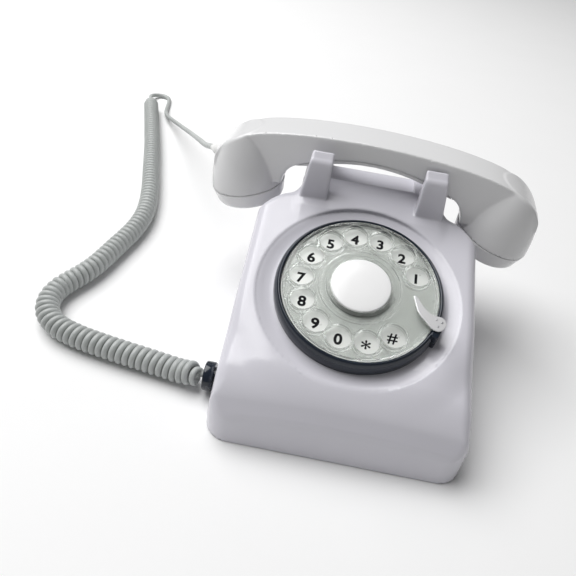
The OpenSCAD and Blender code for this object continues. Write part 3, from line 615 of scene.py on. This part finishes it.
def make_housing(mats):
    """The moulded shell: the outer skin, open underneath and at its holes, given a wall inwards."""
    verts, faces = skin(housing_field(), (-84, -109, 0), (84, 109, 130), 1.0)
    centre = verts[faces].mean(1)
    x, y, z = centre.T
    u, v, w = local(dial_matrix(), centre).T
    under = z < 1
    well = (np.hypot(u, v) < DIAL_WELL_R + 0.5) & (w < -18)
    pits = (np.hypot(np.abs(x) - PLUNGER_X, y - HANDSET_Y) < 3.6) & (z < 92)
    cord_hole = (x < -60) & (np.hypot(y - SOCKET_Y, z - SOCKET_Z) < 6.3)
    jack = (y > 93) & (np.abs(x - JACK_X) < 7.6) & (np.abs(z - JACK_Z) < 6.6)
    faces = faces[~(under | well | pits | cord_hole | jack)]
    used, inverse = np.unique(faces, return_inverse=True)
    shell = add_mesh(
        "housing_shell", verts[used], inverse.reshape(faces.shape).tolist(), "base", mats["shell"]
    )
    wall = shell.modifiers.new("wall", "SOLIDIFY")
    wall.thickness = SHELL_WALL * MM
    wall.offset = -1
    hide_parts("housing")


# ---------------------------------------------------------------- handset

TOP_LINE = [
    (-117.4, 96.5), (-116, 103), (-111, 110), (-103, 116.6), (-93, 121.8), (-80, 126), (-60, 129.6),
    (-40, 131.8), (-20, 133), (0, 133.4),
]


def top_line():
    """The handset's curved top in side view, from one end to the other."""
    half = [(x, 0, z) for x, z in TOP_LINE]
    whole = half + [(-x, 0, z) for x, _, z in half[-2::-1]]
    return [(x, z) for x, _, z in spline(whole, 1.5)]


def cone_field(side, grow=0.0):
    """The flared end of the handset over a cap, down to the cap's seam."""
    cone = cap_matrix(side, CONE_LEAN).inverted()
    seam = cap_matrix(side).inverted()

    def field(p):
        a, b, h = moved(cone, p).T
        wide = CAP_R - 0.2 - 0.1 * h - 0.0049 * h * h
        above = moved(seam, p)[:, 2]
        return np.maximum((np.hypot(a, b) - wide) * 0.961 - grow, -above)

    return field


def shell_field():
    """The handset's handle, arched underneath, flaring into a cone at each end."""
    line = top_line()
    bar_side = outline([(-115, 89), *line, (115, 89)], cell=0.25)
    over = outline([(-130, 50), (-130, 96.5), *line, (130, 96.5), (130, 50)], cell=0.25)
    inverse = handset_matrix().inverted()
    cones = [cone_field(-1), cone_field(1)]

    def field(p):
        x, y, z = moved(inverse, p).T
        under = np.hypot(x, z - UNDER_Z) - UNDER_R - 2.6
        flank = moved(handset_matrix(), np.stack([x, np.zeros_like(x), z], -1))
        clear = both(under, -np.minimum(cones[0](flank), cones[1](flank)), 16)
        bar = both(np.maximum(bar_side(x, z), -clear), np.abs(y) - HANDLE_W / 2, 1.4)
        ends = np.minimum(cones[0](p), cones[1](p))
        return both(either(bar, ends, 0.8), over(x, z), 1.8)

    return field


def cover_field():
    """The strip that closes the handle's underside between the cones."""
    inverse = handset_matrix().inverted()
    cones = [cone_field(-1, 0.3), cone_field(1, 0.3)]

    def field(p):
        x, y, z = moved(inverse, p).T
        radius = np.hypot(x, z - UNDER_Z)
        thin = 2.7 * smooth_step((np.abs(x) - 44) / 16)
        strip = both(radius - UNDER_R - 2.55, UNDER_R + thin - radius, 0.5)
        strip = both(strip, np.abs(y) - HANDLE_W / 2 + 0.4, 0.7)
        strip = np.maximum(strip, -np.minimum(cones[0](p), cones[1](p)))
        across = np.abs(x) * math.cos(COVER_SCREW_TURN) - (z - UNDER_Z) * math.sin(COVER_SCREW_TURN)
        screws = np.hypot(across, y) - 1.6
        return np.maximum(np.maximum(strip, np.abs(x) - 61), -screws)

    return field


def cap_field():
    """A cap in its own frame, seam at 0, with seven sound holes."""
    wall = outline([
        (0, -CAP_H), (CAP_R - 6.5, -CAP_H), *arc(CAP_R - 6.5, -CAP_H + 4.6, 4.6, -80, -22, 6), (CAP_R, -0.35),
        (CAP_R - 2.6, -0.35), (CAP_R - 4.2, -CAP_H + 3.4), (CAP_R - 6.4, -CAP_H + 2.2), (0, -CAP_H + 2.2),
        (-8, -CAP_H + 2.2), (-8, -CAP_H),
    ], margin=12, cell=0.25)
    holes = [(0, 0)] + [(9 * math.cos(k * math.pi / 3), 9 * math.sin(k * math.pi / 3)) for k in range(6)]

    def field(p):
        body = wall(np.hypot(p[:, 0], p[:, 1]), p[:, 2])
        for a, b in holes:
            body = both(body, 1.5 - np.hypot(p[:, 0] - a, p[:, 1] - b), 0.3)
        return body

    return field


def make_handset(mats):
    cell = 0.9
    verts, faces = skin(shell_field(), (-125, 26, 66), (125, 108, 137), cell)
    shell = add_mesh("handset_body", verts, faces.tolist(), "handset", mats["handset"])
    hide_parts("handset_shell")
    verts, faces = skin(cover_field(), (-66, 46, 96), (66, 88, 124), 0.7)
    cover = add_mesh(
        "handset_underside", verts, faces.tolist(), "handset", mats["handset"]
    )
    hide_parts("handset_cover")
    verts, faces = skin(cap_field(), (-30, -30, -15), (30, 30, 1), 0.7)
    for side, node in ((1, "ear_cap"), (-1, "mouth_cap")):
        cap = add_mesh(
            "screwed_" + node, moved(cap_matrix(side), verts), faces.tolist(), "handset",
            mats["handset"],
        )
        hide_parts(node)
    make_boot(mats)


def make_boot(mats):
    """The cord's bushing: a taper out of the handset's end, along the cord."""
    path = spline([(-113.6, 75.4, 97), (-116.4, 76, 96.9), (-119.2, 78.9, 95.8), (-124.4, 87.2, 92.4)], 0.5)
    share = np.linspace(0, 1, len(path))
    radius = 4.2 - 1.8 * smooth_step(share * 1.15 - 0.15)
    radius[0] = 1.5
    radius[-1] -= 0.05
    verts, faces = tube(path, radius, 28)
    boot = add_mesh("cord_bushing", verts, faces, "handset", mats["boot"], sharp=60)
    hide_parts("cord_boot")


# ---------------------------------------------------------------- dial

def hole_angles():
    return [FIRST_HOLE + i * HOLE_PITCH for i in range(12)]


def ring_field(radius, w, outer, inner, low, high, r):
    """A flat ring with rounded edges, or a disc where inner is 0."""
    flat = both(radius - outer, inner - radius, r) if inner else radius - outer
    return both(flat, np.maximum(low - w, w - high), r)


def wheel_field():
    """The clear wheel: a disc with two beads round its hub, a raised rim and a collar at each finger hole."""
    centres = [(HOLE_CIRCLE_R * math.cos(a), HOLE_CIRCLE_R * math.sin(a)) for a in hole_angles()]

    def field(p):
        u, v, w = p.T
        radius = np.hypot(u, v)
        body = ring_field(radius, w, WHEEL_R, 0, -2.5, 0, 0.3)
        body = either(body, ring_field(radius, w, 22, 19.4, -0.5, 1.7, 0.6), 0.3)
        body = either(body, ring_field(radius, w, 27, 25, -0.5, 1.5, 0.6), 0.4)
        body = either(body, ring_field(radius, w, WHEEL_R, 47.2, -0.5, 0.8, 0.4), 0.3)
        nearest = np.full(len(p), 1e9)
        for a, b in centres:
            nearest = np.minimum(nearest, np.hypot(u - a, v - b))
        body = either(body, ring_field(nearest, w, COLLAR_R, 0, -3.4, 0.9, 0.5), 0.4)
        body = both(body, HOLE_R - nearest, 0.35)
        return np.maximum(body, 1.7 - radius)

    return field


LABELS = "1234567890*#"


def glyph_field(text, size):
    """Field of a character of Blender's built-in font, centred on the origin."""
    curve = bpy.data.curves.new("glyph", "FONT")
    curve.body = text
    curve.size = size
    curve.resolution_u = 5
    obj = bpy.data.objects.new("glyph", curve)
    bpy.context.scene.collection.objects.link(obj)
    bpy.context.view_layer.update()
    mesh = bpy.data.meshes.new_from_object(obj)
    bpy.data.objects.remove(obj)
    co = np.array([v.co[:2] for v in mesh.vertices])
    co -= (co.min(0) + co.max(0)) / 2
    faces_at = {}
    for face in mesh.polygons:
        for key in face.edge_keys:
            faces_at[key] = faces_at.get(key, 0) + 1
    rim = np.array([key for key, count in faces_at.items() if count == 1])
    return edge_field(co[rim[:, 0]], co[rim[:, 1]], 3, 0.1)


def make_digit(text, angle, mats):
    """A bold printed character on the number plate."""
    glyph = glyph_field(text, 13 if text == "*" else 9.8)
    bold = 0.2 if text in "*#" else 0.37

    def field(p):
        return both(glyph(p[:, 0] * 0.94, p[:, 1]) - bold, np.abs(p[:, 2] + 0.3) - 0.4, 0.1)

    verts, faces = skin(field, (-5, -6, -0.99), (5, 6, 0.4), 0.2)
    verts += (HOLE_CIRCLE_R * math.cos(angle), HOLE_CIRCLE_R * math.sin(angle), PLATE_W)
    name = "printed_" + {"*": "star", "#": "hash"}.get(text, text)
    add_mesh(name, moved(dial_matrix(), verts), faces.tolist(), "base", mats["print"])


def make_dial(mats):
    at = dial_matrix()
    bezel = lathe(
        "bezel_ring",
        [(50.2, -5.2), (50.2, -1.5), (50.45, -0.95), *arc(51.4, -1.3, 0.8, 130, 55, 5), (52.6, -1.55),
         (53.4, -2.7), (54, -4.4), (54.4, -6.2), (54.5, -7.4), (54.5, -10.95), (50.8, -10.95), (50.8, -18),
         (48.6, -18), (48.6, -7), (46.5, -7), (46.5, -5.25)],
        at, "base", mats["black"], steps=224, sharp=50,
    )
    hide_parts("dial_bezel")

    def block(p):
        """The small block on the bezel that carries the finger stop."""
        body = both(np.abs(p[:, 0] - 53.4) - 2.5, np.abs(p[:, 1]) - 5.2, 1.2)
        body = both(body, np.abs(p[:, 2] + 2.9) - 3.9, 0.8)
        foot = both(np.abs(p[:, 0] - 54.3) - 2.1, np.abs(p[:, 1]) - 6.5, 1)
        return either(body, both(foot, np.abs(p[:, 2] + 8.4) - 2.1, 0.6), 0.8)

    verts, faces = skin(block, (50, -9, -12), (60, 9, 3), 0.4)
    turned = at @ Matrix.Rotation(math.radians(-23.5), 4, "Z")
    add_mesh("stop_block", moved(turned, verts), faces.tolist(), "base", mats["black"])

    verts, faces = skin(wheel_field(), (-51, -51, -4.2), (51, 51, 2.2), 0.45)
    wheel = add_mesh("wheel_clear", moved(at, verts), faces.tolist(), "wheel", mats["clear"])
    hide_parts("finger_wheel")

    dome = lathe(
        "centre_dome",
        [(0, 3), (7, 2.92), (12, 2.65), (15.4, 2.25), *arc(17.9, 0.8, 1.2, 75, 0, 6), (19.1, 0), (17.5, 0),
         (17.5, 0.9), (13, 1.9), (0, 2.2)],
        at, "wheel", mats["disc"],
    )
    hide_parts("centre_disc")
    for text, angle in zip(LABELS, hole_angles()):
        make_digit(text, angle, mats)
    make_stop(mats)


STOP_OUTLINE = [
    (32.8, -1.8), (33.5, -4.2), (34.4, -7.2), (35.8, -11.2), (38, -14.6), (40.7, -17.4), (43.2, -20.2),
    (45.6, -22), (48.4, -22.7), (51.2, -21.7), (53.2, -19), (53.7, -16.1), (52.7, -13.9), (50.6, -12.8),
    (47.8, -12.6), (44.8, -12.1), (42.2, -10.5), (39.9, -8.2), (37.7, -5.3), (35.9, -2.5), (34.2, -0.9),
    (33.1, -0.9),
]


def make_stop(mats):
    """The S-shaped finger stop with its three rivets."""
    line = spline([(x, y, 0) for x, y in [*STOP_OUTLINE, STOP_OUTLINE[0]]], 0.6)
    flat = outline(line[:-1, :2], margin=4, cell=0.2)

    def field(p):
        u, v, w = p.T
        bow = 0.5 * np.sin(np.clip((u - 33) / 20, 0, 1) * math.pi)
        return both(flat(u, v), np.abs(w - 1.85 - bow) - 0.6, 0.45)

    verts, faces = skin(field, (31, -29, 0), (57, 0, 4), 0.25)
    verts = moved(dial_matrix(), verts)
    stop = add_mesh("stop_s_shape", verts, faces.tolist(), "base", mats["stop"])
    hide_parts("finger_stop")
    for k, (u, v) in enumerate([(47.4, -15.2), (50.9, -16.4), (48.6, -19.6)]):
        place = dial_matrix() @ Matrix.Translation((u, v, 2.55))
        lathe(
            f"stop_rivet_{k + 1}", [(0, 0.55), (0.45, 0.48), (0.75, 0.2), (0.8, 0), (0, 0)], place, "base",
            mats["steel"], steps=20,
        )
    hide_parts("stop_rivets")


def make_socket(mats):
    """The black round socket that the cord leaves the housing through."""
    at = Matrix.Translation((SOCKET_X, SOCKET_Y, SOCKET_Z)) @ Matrix.Rotation(math.pi / 2, 4, "Y")
    ring = lathe(
        "cord_collar",
        [(3.2, 0.1), (8.6, 0.1), *arc(8.6, 1.1, 1, -70, 0, 4), (9.6, 5.9), (9.2, 6.5), (6.4, 6.5), (6.4, 16),
         (3.2, 16)],
        at, "base", mats["black"], steps=64,
    )
    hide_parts("cord_socket")


# ---------------------------------------------------------------- stage

def area_light(name, place, aim, size, power):
    data = bpy.data.lights.new(name, "AREA")
    data.shape = "RECTANGLE"
    data.size, data.size_y = size
    data.energy = power
    obj = bpy.data.objects.new(name, data)
    bpy.context.scene.collection.objects.link(obj)
    back = (Vector(place) - Vector(aim)).to_track_quat("Z", "Y")
    obj.matrix_world = Matrix.Translation(place) @ back.to_matrix().to_4x4()


FLOOR_REACH = 4.0


def make_stage():
    """A plain pale floor, a large soft light overhead and a faint one in front."""
    floor = bpy.data.meshes.new("floor")
    corners = [(-1, -1), (1, -1), (1, 1), (-1, 1)]
    floor.from_pydata([(FLOOR_REACH * x, FLOOR_REACH * y, 0) for x, y in corners], [], [[0, 1, 2, 3]])
    obj = bpy.data.objects.new("floor", floor)
    bpy.context.scene.collection.objects.link(obj)
    paper = finish_material("floor_paper", (0.93, 0.93, 0.93), 0.8, bump=0.02, tint=0.004, grain=300)
    floor.materials.append(paper)

    world = bpy.data.worlds.new("studio")
    world.use_nodes = True
    sky = world.node_tree.nodes["Background"]
    sky.inputs["Color"].default_value = (1, 1, 1, 1)
    sky.inputs["Strength"].default_value = 0.16
    bpy.context.scene.world = world
    bpy.context.scene.view_settings.view_transform = "Standard"
    area_light("overhead", (-0.9, 0.5, 1.8), (0, 0.05, 0.05), (2.0, 1.7), 52)
    area_light("front", (0.5, -1.1, 0.8), (0, 0, 0.06), (0.6, 0.5), 0.3)


make_camera()
materials = make_materials()
make_cord(materials)
make_stage()
dress_cad(materials)
make_housing(materials)
make_handset(materials)
make_dial(materials)
make_socket(materials)
